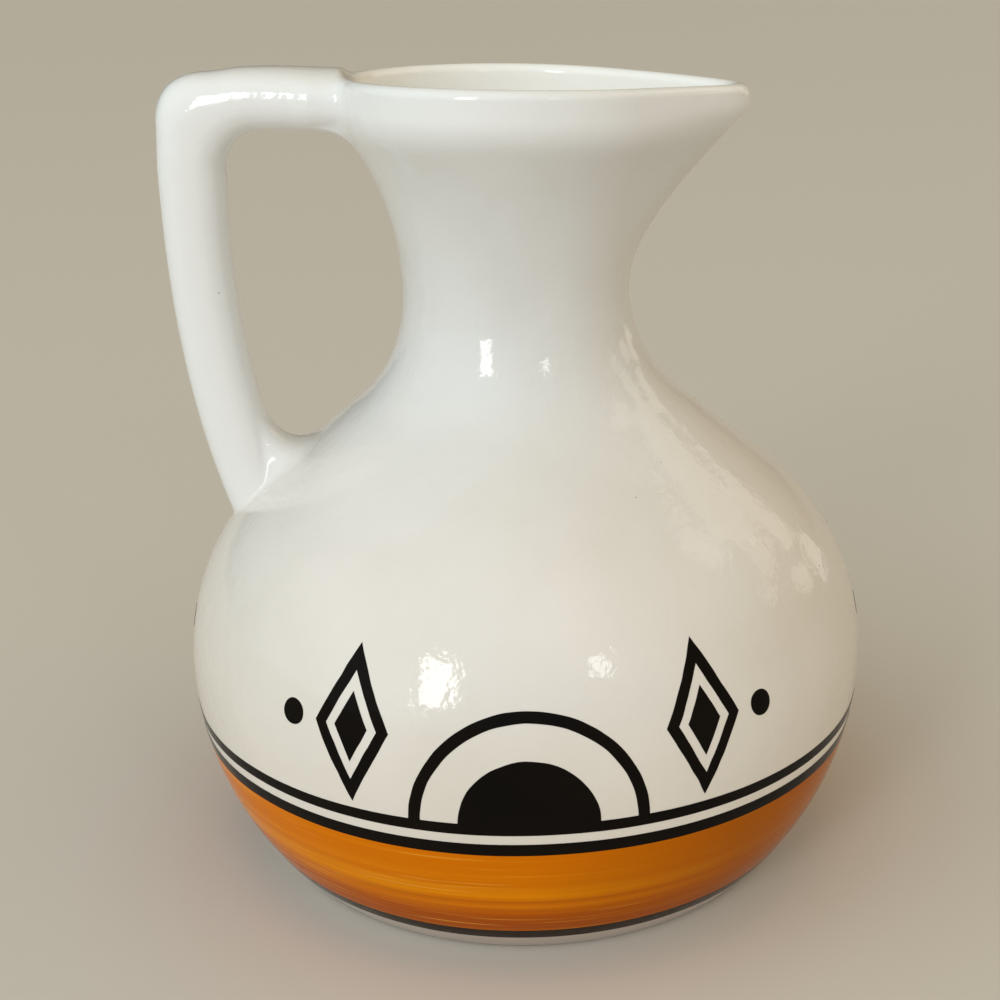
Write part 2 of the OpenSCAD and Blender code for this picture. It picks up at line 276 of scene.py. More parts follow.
# The neck falls towards the tip, by more the higher it is
row_h = read(spin, "height")
across = calc(spin, "MULTIPLY_ADD", given["Rim radius"], 2.0, given["Lip reach"])
toward_tip = calc(spin, "DIVIDE", calc(spin, "ADD", row_x, given["Rim radius"]), across)
above = calc(spin, "MAXIMUM", calc(spin, "SUBTRACT", row_h, given["Waist height"]), 0.0)
above = calc(spin, "DIVIDE", above, calc(spin, "SUBTRACT", given["Rim height"], given["Waist height"]))
fall = calc(spin, "MULTIPLY", calc(spin, "POWER", toward_tip, 2.0), above)
fall = calc(spin, "MULTIPLY", fall, given["Dip of the rim"])
place = add(spin, "ShaderNodeCombineXYZ", {
    "X": calc(spin, "ADD", row_x, read(spin, "lean")), "Y": row_y, "Z": calc(spin, "SUBTRACT", row_h, fall)})

# A painted line strays along the wall, as the hand does
hand = add(spin, "ShaderNodeTexNoise", {"Vector": place.outputs[0], "Scale": 34.0, "Detail": 1.0})
stray = beyond(spin, hand.outputs[0], 0.5, given["Waver"])
stray_r = calc(spin, "MULTIPLY", stray, read(spin, "along_r"))
stray_xyz = add(spin, "ShaderNodeCombineXYZ", {
    "X": calc(spin, "MULTIPLY", stray_r, calc(spin, "COSINE", angle)),
    "Y": calc(spin, "MULTIPLY", stray_r, calc(spin, "SINE", angle)),
    "Z": calc(spin, "MULTIPLY", stray, read(spin, "along_z"))})
moved = add(spin, "GeometryNodeSetPosition", {
    "Geometry": spun.outputs[0], "Position": place.outputs[0], "Offset": stray_xyz.outputs[0]})
closed = add(spin, "GeometryNodeMergeByDistance", {"Geometry": moved.outputs[0], "Distance": 0.03*MM})
close_tree(spin, closed.outputs[0], given["Finish"])
spin_sizes = {
    "Points round": 256, "Crowding at the lip": 1.3, "Rounding of the tip": lip_soft_a,
    "Rim radius": rim_r*MM, "Lip reach": lip_reach*MM, "Dip of the rim": lip_dip*MM,
    "Waist height": waist_h*MM, "Rim height": rim_h*MM, "Waver": 0.0}


def glazed(name, roughness):
    """A gloss glaze, with the slow waves and the fine grain of a hand-dipped coat."""
    material = bpy.data.materials.new(name)
    material.use_nodes = True
    tree = material.node_tree
    shader = tree.nodes["Principled BSDF"]
    shader.inputs["Roughness"].default_value = roughness
    shader.inputs["IOR"].default_value = 1.52
    spot = add(tree, "ShaderNodeTexCoord").outputs["Object"]
    waves = add(tree, "ShaderNodeTexNoise", {"Vector": spot, "Scale": 50.0, "Detail": 2.5})
    grain = add(tree, "ShaderNodeTexNoise", {"Vector": spot, "Scale": 260.0, "Detail": 2.5})
    peel = add(tree, "ShaderNodeTexNoise", {"Vector": spot, "Scale": 620.0, "Detail": 1.0})
    grained = add(tree, "ShaderNodeBump", {"Height": grain.outputs[0], "Distance": 0.1*MM, "Strength": 1.0})
    peeled = add(tree, "ShaderNodeBump", {"Height": peel.outputs[0], "Distance": 0.045*MM, "Strength": 1.0,
                                          "Normal": grained.outputs[0]})
    wavy = add(tree, "ShaderNodeBump", {"Height": waves.outputs[0], "Distance": 0.26*MM, "Strength": 1.0,
                                        "Normal": peeled.outputs[0]})
    tree.links.new(wavy.outputs[0], shader.inputs["Normal"])
    return material, tree, shader, spot


def blend(tree, share, first, second, way="MIX"):
    """Mixes two colours by a share."""
    mix = add(tree, "ShaderNodeMix", data_type="RGBA", blend_type=way)
    feed(tree, mix.inputs[0], share)
    feed(tree, mix.inputs[6], first)
    feed(tree, mix.inputs[7], second)
    return mix.outputs[2]


def limit(tree, value, top):
    """Keeps a value between nothing and a top."""
    return calc(tree, "MAXIMUM", calc(tree, "MINIMUM", value, top), 0.0)


def colour_ramp(tree, along, stops):
    """The colour at a place along a ramp, which is given as places and colours from low to high."""
    node = add(tree, "ShaderNodeValToRGB", {"Fac": along})
    marks = node.color_ramp.elements
    for mark, (at, colour) in zip((marks[0], marks[1]), (stops[0], stops[-1])):
        mark.position = at
        mark.color = colour
    for at, colour in stops[1:-1]:
        marks.new(at).color = colour
    return node.outputs[0]


# The ivory glaze: slow changes of tone where it ran thick or thin; painted light that tints it warm low down,
# cool up high, paler on the handle and collar and brightest inside; a few dark pinholes; a painted shade on
# the foot
thin_ivory = (0.735, 0.70, 0.66, 1)
thick_ivory = (0.855, 0.82, 0.795, 1)
cloudy_ivory = (0.80, 0.775, 0.76, 1)
painted_light_ivory = (0.89, 0.893, 0.887, 1)
inside_painted_light_ivory = (0.97, 0.96, 0.92, 1)
painted_foot_shade = (0.42, 0.33, 0.27, 1)
pinhole_brown = (0.16, 0.12, 0.08, 1)
painted_warm_to_cool_light = ((0.25, (1.0, 0.97, 0.91, 1)), (0.48, (1.0, 0.99, 0.97, 1)), (0.65, (0.95, 0.985, 1.0, 1)))
painted_light_most = 0.85
foot_shade_h = 5.6
foot_shade_share = 0.75
pinhole_share = 0.6

ivory, tree, shader, spot = glazed("Ivory glaze", 0.09)
run_thick = add(tree, "ShaderNodeTexNoise", {"Vector": spot, "Scale": 17.0, "Detail": 4.0})
run_thick = calc(tree, "MULTIPLY_ADD", calc(tree, "SUBTRACT", run_thick.outputs[0], 0.5), 2.0, 0.5)
tone = blend(tree, run_thick, thin_ivory, thick_ivory)
clouds = add(tree, "ShaderNodeTexNoise", {"Vector": spot, "Scale": 45.0, "Detail": 3.0})
tone = blend(tree, limit(tree, beyond(tree, clouds.outputs[0], 0.45, 2.0), 0.5), tone, cloudy_ivory)
upright = add(tree, "ShaderNodeSeparateXYZ", {"Vector": spot}).outputs[2]
# Painted light: a warm tint of bounced light low down and a cool tint up high
light_tint_by_height = colour_ramp(tree, calc(tree, "DIVIDE", upright, rim_h*MM), painted_warm_to_cool_light)
tone = blend(tree, 1.0, tone, light_tint_by_height, "MULTIPLY")
# Painted light: the collar and the handle paler, as where light falls bright
pale = add(tree, "ShaderNodeAttribute", attribute_name="pale").outputs["Fac"]
tone = blend(tree, calc(tree, "MULTIPLY", pale, painted_light_most), tone, painted_light_ivory)
# Painted light: the inside brightest, as light bounced inside the mouth
inside = add(tree, "ShaderNodeAttribute", attribute_name="inside").outputs["Fac"]
tone = blend(tree, inside, tone, inside_painted_light_ivory)
# Painted shade: the foot strip darker and browner, as the shade next to the floor
foot_shade = calc(tree, "MULTIPLY", calc(tree, "LESS_THAN", upright, foot_shade_h*MM), foot_shade_share)
tone = blend(tree, foot_shade, tone, painted_foot_shade)
cells = add(tree, "ShaderNodeTexVoronoi", {"Vector": spot, "Scale": 150.0})
pick = add(tree, "ShaderNodeSeparateColor", {"Color": cells.outputs["Color"]})
chosen = calc(tree, "GREATER_THAN", pick.outputs[0], 0.7)
hole_size = calc(tree, "MULTIPLY_ADD", pick.outputs[1], 0.03, 0.015)
hole = calc(tree, "MULTIPLY", chosen, calc(tree, "LESS_THAN", cells.outputs["Distance"], hole_size))
tone = blend(tree, calc(tree, "MULTIPLY", hole, pinhole_share), tone, pinhole_brown)
tree.links.new(tone, shader.inputs["Base Color"])

# The section's rows, from the middle of the foot up the outside, over the rim and down to the floor
foot_flat = [(r, r, 0.0) for r in np.linspace(pole_r, foot_edge_c[0], 9, endpoint=False)]
outside = [(r, r, z) for r, z in lower_outline(0.0, 1.5)]
levels = np.linspace(waist_h, rim_h - rim_edge_r, 58)
neck_out = [neck_row(z, 0.0) for z in levels]
rim = [neck_row(rim_h - rim_edge_r*(1 - math.sin(a)), rim_edge_r*(1 - math.cos(a)))
       for a in np.linspace(0, math.pi, 19)[1:-1]]
neck_in = [neck_row(z, wall_t) for z in levels[::-2]]
inner = [(r, r, z) for r, z in lower_outline(-wall_t, 3.0)[::-1] if z > floor_t + floor_corner_h]
corner_from_r, _, corner_from_z = inner[-1]
floor_edge_r = lower_c[0] + math.sqrt((lower_r - wall_t)**2 - (belly_h - floor_t)**2)
flat_r = floor_edge_r - floor_corner_run
floor_corner = []
for t in np.linspace(0, 1, 6)[1:]:
    r = (1 - t)**2*corner_from_r + 2*t*(1 - t)*floor_edge_r + t*t*flat_r
    floor_corner.append((r, r, (1 - t)**2*corner_from_z + (1 - (1 - t)**2)*floor_t))
floor_flat = [(r, r, floor_t) for r in np.linspace(flat_r, pole_r, 9)[1:]]
rows = np.array(foot_flat + outside + neck_out + rim + neck_in + inner + floor_corner + floor_flat)

# The painted light of the inside starts a few rows up the rim and is full where the rim ends
bright_rows = len(rim) - 4
bright_from = len(foot_flat + outside + neck_out + rim) - bright_rows
inside_light_share = np.clip((np.arange(len(rows)) - bright_from)/bright_rows, 0, 1)
# The tree places every point, so the points of the section only have to lie apart
body = new_piece("glazed_body", np.outer(np.arange(len(rows)), np.ones(3))*MM,
                 [(i, i + 1) for i in range(len(rows) - 1)], [],
                 {"round_r": rows[:, 0]*MM, "ridge_r": rows[:, 1]*MM, "height": rows[:, 2]*MM,
                  "lean": lean(rows[:, 2])*MM, "along_r": 0*rows[:, 0], "along_z": 0*rows[:, 0],
                  "inside": inside_light_share, "pale": body_painted_light(rows[:, 2])})
settle(body, spin, spin_keys, {**spin_sizes, "Finish": ivory})
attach(body, "root")
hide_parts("body")

# Handle
# A solid strap of the same clay, pulled, bent square and luted with slip to the rim and the shoulder.
# It is widest at the rim, and its corner sagged a little. The glaze runs over both seams in fillets,
# so the strap and its slip show as one form. Fillets are given for the outer face, sides and inner face.
handle_reach = 86.8
handle_rise = 2.5
strap_t = 14.5
coat_t = 0.2
handle_t = strap_t + 2*coat_t
handle_depth = 19.6
handle_squareness = 2.4
root_spread = 9.0
spread_run = 38.0
spread_ease = 1.25
root_ridge = 0.5
ridge_run = 6.0
ridge_w = 2.5
arm_drop = 0.8
bend_r = 18.2
corner_r = 12.0
corner_drop = 1.1
corner_drop_at = 0.33
corner_drop_w = 0.14
land_a = math.radians(47.7)
leg_curl = 2.4
leg_swell = 0.9
leg_swell_end = 0.3
leg_in = 0.3
leg_out = 0.7
leg_out_from = 0.6
leg_spread = 0.2
leg_spread_from = 0.35
leg_spread_over = 0.5
arm_fillets = (1.0, 2.5, 12.0)
arm_run_ups = (2.2, 3.5, 14.0)
arm_over_rim = 3.3
leg_fillets = (1.3, 1.2, 14.0)
leg_run_ups = (1.8, 1.4, 18.0)
fillet_rings = 16
seam_lap = 0.5
seam_sink = 0.06
tuck_lap = 0.8
joint_depth = 2.0
strap_points = 112

handle_mid = handle_reach - strap_t/2
arm_z = rim_h + handle_rise - strap_t/2
arm_end = handle_mid - bend_r
arm_start = rim_r - wall_t
leg_top = arm_z - bend_r
land_r = shoulder_c[0] + shoulder_r*math.cos(land_a)
land_z = belly_h + shoulder_r*math.sin(land_a)
leg_sweep = handle_mid - land_r

# The body's skin behind the handle, from the foot up and over the rim, by the length run along it
wall = np.vstack([lower_outline(0.0, 1.0), [(neck_radius(z, 0.0), z) for z in levels]])
rim_edge_c = np.array([rim_r - rim_edge_r, rim_h - rim_edge_r])
skin = np.vstack([wall, arc(rim_edge_c, rim_edge_r, 0.08, 2.8, 30)])
skin_run = np.concatenate([[0], np.cumsum(np.hypot(*np.diff(skin, axis=0).T))])
wall_run = skin_run[:len(wall)]

around = np.linspace(0, 2*math.pi, strap_points, endpoint=False)
strap_out = np.sign(np.sin(around))*np.abs(np.sin(around))**(2/handle_squareness)
strap_side = np.sign(np.cos(around))*np.abs(np.cos(around))**(2/handle_squareness)


def on_body(run, round_about):
    """The points of the body's skin at lengths up its section and lengths round its axis."""
    r = np.interp(run, skin_run, skin[:, 0])
    z = np.interp(run, skin_run, skin[:, 1])
    a = round_about/r
    return np.stack([lean(z) - r*np.cos(a), r*np.sin(a), z], -1)


def clear_of_body(points):
    """How far points stand off the body's wall, level with them."""
    r = np.interp(points[:, 2], wall[:, 1], wall[:, 0])
    return np.hypot(points[:, 0] - lean(points[:, 2]), points[:, 1]) - r


def unit(directions):
    """Directions with a length of one."""
    return directions/np.linalg.norm(directions, axis=1)[:, None]


def strap_at(part, t):
    """Points round the strap, each at its own place along the arm, the bend or the leg."""
    t = np.zeros(strap_points) + t
    more_out = 0*t
    more_in = 0*t
    if part == "arm":
        sag = arm_drop*(1 - t*t*(3 - 2*t))
        middle = np.stack([-arm_start - (arm_end - arm_start)*t, arm_z - sag], -1)
        heading = np.stack([arm_start - arm_end + 0*t, 6*arm_drop*t*(1 - t)], -1)
        length = (arm_end - arm_start)*t - wall_t
    elif part == "bend":
        s = np.sin(t*math.pi/2)
        c = np.cos(t*math.pi/2)
        middle = np.stack([-arm_end - bend_r*s, leg_top + bend_r*c], -1)
        heading = np.stack([-c, -s], -1)
        length = arm_end - rim_r + bend_r*t*math.pi/2
        # Outside, the two faces run on straight and meet in a rounded corner
        outer = bend_r + handle_t/2
        q = outer - corner_r
        in_corner = q*(s + c) + np.sqrt(np.maximum(corner_r**2 - q*q*(1 - 2*s*c), 0))
        in_flat = outer/np.maximum(s, c)
        more_out = np.where(np.minimum(s, c)/np.maximum(s, c) > q/outer, in_corner, in_flat) - outer
        # The corner sagged a little on its upper side, and the leg starts thicker than the arm
        more_out -= corner_drop*np.exp(-((t - corner_drop_at)/corner_drop_w)**2)
        late = np.clip((t - leg_out_from)/(1 - leg_out_from), 0, 1)
        more_out += leg_out*late*late*(3 - 2*late)
        more_in = leg_swell*t*t
    else:
        middle = np.stack([leg_sweep*t**leg_curl - handle_mid, leg_top - (leg_top - land_z)*t], -1)
        heading = np.stack([leg_sweep*leg_curl*t**(leg_curl - 1), land_z - leg_top + 0*t], -1)
        length = arm_end - rim_r + bend_r*math.pi/2 + (leg_top - land_z)*t
        more_in = leg_in + (leg_swell - leg_in)*np.clip(1 - t/leg_swell_end, 0, 1)**2
        more_out = leg_out + leg_spread*np.clip((t - leg_spread_from)/leg_spread_over, 0, 1)**2
    heading = unit(heading)
    out = strap_out*handle_t/2 + more_out*np.clip(strap_out, 0, 1) + more_in*np.clip(strap_out, -1, 0)
    half = handle_depth/2 + root_spread/2*np.clip(1 - length/spread_run, 0, 1)**spread_ease
    half += root_ridge*np.exp(-((length - ridge_run)/ridge_w)**2)
    return np.stack([middle[:, 0] + heading[:, 1]*out, strap_side*half, middle[:, 1] - heading[:, 0]*out], -1)


def meeting(part, free_t, sunk_t):
    """Where along the arm or the leg each line of the strap meets the body's wall, by halving."""
    free = np.full(strap_points, free_t)
    sunk = np.full(strap_points, sunk_t)
    for _ in range(40):
        half_way = (free + sunk)/2
        stands_clear = clear_of_body(strap_at(part, half_way)) > 0
        free = np.where(stands_clear, half_way, free)
        sunk = np.where(stands_clear, sunk, half_way)
    return free


def by_face(on_outer, on_side, on_inner):
    """A size for each point round the strap, from those on its outer face, its sides and its inner face."""
    outness = np.abs(strap_out)**4/(np.abs(strap_out)**4 + np.abs(strap_side)**4)
    return on_side + (np.where(strap_out > 0, on_outer, on_inner) - on_side)*outness


def joint(part, free_t, sunk_t, fillets, run_ups, over_rim):
    """Carries one end of the strap over a fillet on to the body; returns where the strap stops, and rings."""
    free = meeting(part, free_t, sunk_t)
    foot = strap_at(part, free)
    run = np.interp(foot[:, 2], wall[:, 1], wall_run)
    # What stands higher than the wall lands on the rounded rim
    rise = strap_at(part, free_t)[:, 2] - (rim_h - rim_edge_r)
    run = np.where(rise > 0, wall_run[-1] + over_rim*rise/max(rise.max(), 1.0), run)
    r = np.interp(run, skin_run, skin[:, 0])
    round_about = r*np.arcsin(foot[:, 1]/r)
    foot = on_body(run, round_about)
    if part == "arm":
        free = np.where(rise > 0, (-foot[:, 0] - arm_start)/(arm_end - arm_start), free)
    # The fillet's edge on the body lies outside that loop, by the fillet's width
    loop = np.stack([run, round_about], -1)
    tangent = np.roll(loop, -1, 0) - np.roll(loop, 1, 0)
    normal = unit(np.stack([tangent[:, 1], -tangent[:, 0]], -1))
    normal *= np.sign(((loop - loop.mean(0))*normal).sum())
    landing = loop + normal*by_face(*fillets)[:, None]
    end = on_body(landing[:, 0], landing[:, 1])
    hair = 0.05*normal
    onward = unit(on_body(landing[:, 0] + hair[:, 0], landing[:, 1] + hair[:, 1]) - end)
    # Its edge on the strap lies back from the loop, by the run-up
    step = 0.02
    inward = np.sign(sunk_t - free_t)
    pace = np.linalg.norm(strap_at(part, free + step*inward) - strap_at(part, free), axis=1)/step
    stop = free - inward*by_face(*run_ups)/pace
    start = strap_at(part, stop)
    ahead = unit(strap_at(part, stop + step*inward) - start)
    hold = np.linalg.norm(end - start, axis=1)[:, None]*0.5
    rings = []
    for t in np.linspace(0, 1, fillet_rings + 1)[1:]:
        rings.append((1 - t)**3*start + 3*(1 - t)**2*t*(start + ahead*hold)
                     + 3*(1 - t)*t*t*(end - onward*hold) + t**3*end)
    # The edge runs out just under the skin and then turns into the wall
    off_wall = unit(np.cross(onward, np.roll(end, -1, 0) - np.roll(end, 1, 0)))
    off_wall *= np.sign((off_wall*-ahead).sum())
    rings.append(end + onward*seam_lap - off_wall*seam_sink)
    rings.append(end + onward*tuck_lap - off_wall*joint_depth)
    # The end is closed inside the wall, at the same depth all over
    middle = landing.mean(0)
    for share in (0.7, 0.4, 0.1):
        cap = middle + (landing - middle)*share
        cap = on_body(cap[:, 0], cap[:, 1])
        cap[:, :2] *= 1 - joint_depth/np.hypot(cap[:, 0], cap[:, 1])[:, None]
        rings.append(cap)
    return stop, rings


arm_stop, upper = joint("arm", 1.0, 0.0, arm_fillets, arm_run_ups, arm_over_rim)
leg_stop, lower = joint("leg", 0.5, 1.25, leg_fillets, leg_run_ups, 0.0)
arm_rings = [strap_at("arm", arm_stop + (1 - arm_stop)*t) for t in np.linspace(0, 1, 12, endpoint=False)]
bend_rings = [strap_at("bend", t) for t in np.linspace(0, 1, 40, endpoint=False)]
leg_rings = [strap_at("leg", leg_stop*t) for t in np.linspace(0, 1, 44)]
strap_rings = upper[::-1] + arm_rings + bend_rings + leg_rings + lower
points = np.vstack(strap_rings + [strap_rings[0].mean(0)[None], strap_rings[-1].mean(0)[None]])
faces = []
for low in range(0, (len(strap_rings) - 1)*strap_points, strap_points):
    high = low + strap_points
    for j in range(strap_points):
        k = (j + 1) % strap_points
        faces.append((low + j, low + k, high + k, high + j))
last = (len(strap_rings) - 1)*strap_points
for j in range(strap_points):
    k = (j + 1) % strap_points
    faces.append((len(points) - 2, k, j))
    faces.append((len(points) - 1, last + j, last + k))

# The handle's painted light turns into the body's over each joint
seam = np.minimum(np.arange(1, len(lower) + 1)/fillet_rings, 1)
on_seam = np.concatenate([seam[::-1], np.zeros(len(strap_rings) - 2*len(seam)), seam])
on_seam = np.concatenate([np.repeat(on_seam, strap_points), [1, 1]])
handle_painted_light = 1 - on_seam*(1 - body_painted_light(points[:, 2]))
handle = new_piece("glazed_handle", points*MM, [], faces, {"pale": handle_painted_light})
handle.data.shade_smooth()
handle.data.materials.append(ivory)
face_outwards(handle.data)
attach(handle, "root")
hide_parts("handle", "upper_slip_joint", "lower_slip_joint")

# Orange band
# A broad band of orange colour, brushed on while the jug turned on a wheel and fired under the glaze.
# The brush left level streaks; the colour is bright at the top and browner towards the foot, and a painted
# shade darkens it on the side of the lip.
orange_low = 9.3
orange_high = 36.8
orange_proud = 0.04
under_lines = 0.2
band_sunk = 0.2
band_spacing = 0.7
bright_streak = (0.86, 0.31, 0.004, 1)
dark_streak = (0.27, 0.045, 0.006, 1)
brush_hair = (0.90, 0.42, 0.05, 1)
painted_shade_orange = (0.38, 0.095, 0.001, 1)
shade_run = 62.0
brown_to_orange = (
    (0.0, (0.40, 0.078, 0.004, 1)), (0.22, (0.50, 0.105, 0.002, 1)), (0.42, (0.70, 0.185, 0.001, 1)),
    (0.52, (0.82, 0.270, 0.001, 1)), (0.64, (0.73, 0.200, 0.001, 1)), (1.0, (0.70, 0.175, 0.001, 1)))


def band_piece(name, low, high, proud, finish, waver):
    """A thin painted band between two heights, standing proud of the body by a hair."""
    low_a = math.asin((low - belly_h)/lower_r)
    high_a = math.asin((high - belly_h)/lower_r)
    a = np.linspace(low_a, high_a, max(4, int((high_a - low_a)*lower_r/band_spacing)))
    around_loop = np.concatenate([a, a[::-1]])
    grow = np.concatenate([np.full(len(a), proud), np.full(len(a), -band_sunk)])
    r = lower_c[0] + (lower_r + grow)*np.cos(around_loop)
    z = lower_c[1] + (lower_r + grow)*np.sin(around_loop)
    count = len(r)
    piece = new_piece(name, np.stack([r, 0*r, z], -1)*MM, [(i, (i + 1) % count) for i in range(count)], [],
                      {"round_r": r*MM, "ridge_r": r*MM, "height": z*MM, "lean": 0*r,
                       "along_r": -np.sin(around_loop), "along_z": np.cos(around_loop)})
    settle(piece, spin, spin_keys, {**spin_sizes, "Crowding at the lip": 1.0, "Waver": waver*MM,
                                    "Finish": finish})
    return piece


def level_streaks(tree, spot, stretch, detail):
    """Streaks that lie level round the jug, from a pattern that is pressed flat."""
    pressed = add(tree, "ShaderNodeMapping", {"Vector": spot, "Scale": stretch})
    pattern = {"Vector": pressed.outputs[0], "Scale": 1.0, "Detail": detail}
    return add(tree, "ShaderNodeTexNoise", pattern).outputs[0]


orange, tree, shader, spot = glazed("Orange colour", 0.12)
shader.inputs["Specular IOR Level"].default_value = 0.03
split = add(tree, "ShaderNodeSeparateXYZ", {"Vector": spot})
up_band = calc(tree, "SUBTRACT", split.outputs[2], orange_low*MM)
up_band = calc(tree, "DIVIDE", up_band, (orange_high - orange_low)*MM)
streaks = level_streaks(tree, spot, (6.0, 6.0, 620.0), 4.0)
broad = level_streaks(tree, spot, (9.0, 9.0, 190.0), 2.0)
hairs = level_streaks(tree, spot, (24.0, 24.0, 1500.0), 1.0)
stirred = calc(tree, "MULTIPLY_ADD", calc(tree, "SUBTRACT", broad, 0.5), 0.35, up_band)
brushed = colour_ramp(tree, stirred, brown_to_orange)
brushed = blend(tree, limit(tree, beyond(tree, streaks, 0.5, 2.2), 0.8), brushed, bright_streak)
dark = calc(tree, "MULTIPLY", calc(tree, "SUBTRACT", 0.47, streaks), 3.0)
dark = calc(tree, "MULTIPLY", dark, calc(tree, "SUBTRACT", 1.0, up_band))
brushed = blend(tree, limit(tree, dark, 0.8), brushed, dark_streak)
brushed = blend(tree, limit(tree, beyond(tree, hairs, 0.64, 6.0), 0.6), brushed, brush_hair)
# Painted shade: the band darker towards +X, the side of the lip
lip_side_shade = calc(tree, "MULTIPLY", split.outputs[0], 1/(shade_run*MM))
brushed = blend(tree, limit(tree, lip_side_shade, 0.8), brushed, painted_shade_orange)
tree.links.new(brushed, shader.inputs["Base Color"])
orange_band = band_piece("painted_orange_band", orange_low - under_lines, orange_high + under_lines,
                         orange_proud, orange, 0.0)
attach(orange_band, "root")
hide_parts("orange_band")

# Foot line, lower black line and upper black line
# Three lines of black colour, drawn with a narrow brush on the wheel after the orange.
# The first closes the band at the foot, the second at the top; the third stands over a bare line.
foot_line_low = 5.7
lower_line_high = 40.0
upper_line_low = 42.5
upper_line_high = 45.3
line_proud = 0.07
full_black = (0.0025, 0.0025, 0.0025, 1)
worn_black = (0.009, 0.006, 0.004, 1)
thin_black = (0.024, 0.010, 0.003, 1)
thin_h = 12.0
thin_share = 0.8

black, tree, shader, spot = glazed("Black colour", 0.1)
shader.inputs["Specular IOR Level"].default_value = 0.05
brush_load = add(tree, "ShaderNodeTexNoise", {"Vector": spot, "Scale": 55.0, "Detail": 3.0})
inked = blend(tree, brush_load.outputs[0], full_black, worn_black)
upright = add(tree, "ShaderNodeSeparateXYZ", {"Vector": spot}).outputs[2]
thin = calc(tree, "MULTIPLY", calc(tree, "LESS_THAN", upright, thin_h*MM), thin_share)
tree.links.new(blend(tree, thin, inked, thin_black), shader.inputs["Base Color"])
foot_line = band_piece("painted_foot_line", foot_line_low, orange_low, line_proud, black, 0.5)
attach(foot_line, "root")
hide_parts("foot_line")

lower_line = band_piece("painted_lower_line", orange_high, lower_line_high, line_proud, black, 0.4)
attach(lower_line, "root")
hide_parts("lower_black_line")

upper_line = band_piece("painted_upper_line", upper_line_low, upper_line_high, line_proud, black, 0.4)
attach(upper_line, "root")
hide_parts("upper_black_line")

# Painted motifs
# Three groups of black brushwork on the belly: a half disc under an arch, between two lozenges with
# a dot beside each. A tree lays one flat group on the belly and repeats it round the axis.
motif_count = 3
motif_proud = 0.06
motif_waver = 0.5
line_lap = 0.15
brush_w = 2.6
arch_r = 27.0
sun_r = 16.0
lozenge_w = 19.0
lozenge_h = 36.0
seed_h = 16.0
lozenge_middle = 20.0
lozenge_along = 41.5
dot_along = 58.0
dot_d = 6.0
disc_pole_r = 0.05

flat_points = []
flat_faces = []
flat_middles = []


def patch(grid, along):
    """Adds a grid of flat points, across and up, some way along from the group's middle."""
    rows_n, cols_n = grid.shape[:2]
    base = len(flat_points)
    flat_points.extend(((p[0] + along)*MM, 0.0, p[1]*MM) for p in grid.reshape(-1, 2))
    flat_middles.extend([along*MM]*(rows_n*cols_n))
    for i in range(rows_n - 1):
        for j in range(cols_n - 1):
            first = base + i*cols_n + j
            flat_faces.append((first, first + 1, first + cols_n + 1, first + cols_n))


def polar(r_in, r_out, end, up, radial, angular):
    """A grid of points on a disc or ring, or on the part of it from the right up to an end angle."""
    a = np.linspace(0, end, angular)
    r = np.linspace(r_in, r_out, radial)[:, None]
    return np.stack([r*np.cos(a), up + r*np.sin(a)], -1)


def lozenge_side(corner_in, corner_out, next_in, next_out, steps):
    """A grid of points on one side of a lozenge's brush line."""
    t = np.linspace(0, 1, steps)[:, None, None]
    across_it = np.linspace(0, 1, 5)[:, None]
    start = corner_in*(1 - across_it) + corner_out*across_it
    end = next_in*(1 - across_it) + next_out*across_it
    return start*(1 - t) + end*t


patch(polar(arch_r - brush_w, arch_r, math.pi, 0, 4, 96), 0)
patch(polar(disc_pole_r, sun_r, math.pi, 0, 14, 64), 0)
inner_h = lozenge_h - 2*brush_w*math.hypot(lozenge_h, lozenge_w)/lozenge_w
compass = np.array([(0, -1), (1, 0), (0, 1), (-1, 0)])
lozenge_c = np.array([0, lozenge_middle])
big = compass*np.array([lozenge_w, lozenge_h])/2 + lozenge_c
small = compass*np.array([lozenge_w, lozenge_h])/2*inner_h/lozenge_h + lozenge_c
one, two = np.meshgrid(np.linspace(0, 1, 16), np.linspace(0, 1, 16))
seed = np.stack([(one - two)*lozenge_w, (one + two - 1)*lozenge_h], -1)*seed_h/lozenge_h/2
for hand_side in (-1, 1):
    for i in range(4):
        j = (i + 1) % 4
        patch(lozenge_side(small[i], big[i], small[j], big[j], 26), hand_side*lozenge_along)
    patch(seed + lozenge_c, hand_side*lozenge_along)
    patch(polar(disc_pole_r, dot_d/2, 2*math.pi, lozenge_middle, 6, 40), hand_side*dot_along)

lay, given, lay_keys = open_tree("Flat group laid on the belly", {
    "Groups": "Int", "Belly radius": "Float", "Belly height": "Float", "Lower curve": "Float",
    "Shoulder curve": "Float", "Foot of the group": "Float", "Proud": "Float", "Sunk": "Float",
    "Waver": "Float", "Finish": "Material"})
merged = add(lay, "GeometryNodeMergeByDistance", {"Geometry": given["Geometry"], "Distance": 0.02*MM})
depth = add(lay, "ShaderNodeCombineXYZ", {"Y": 1.0})
raised = add(lay, "GeometryNodeExtrudeMesh", {"Mesh": merged.outputs[0], "Offset": depth.outputs[0],
                                              "Offset Scale": 1.0, "Individual": False}, mode="FACES")
under = add(lay, "GeometryNodeFlipFaces", {"Mesh": merged.outputs[0]})
both = add(lay, "GeometryNodeJoinGeometry")
lay.links.new(raised.outputs[0], both.inputs[0])
lay.links.new(under.outputs[0], both.inputs[0])
whole = add(lay, "GeometryNodeMergeByDistance", {"Geometry": both.outputs[0], "Distance": 0.001*MM})

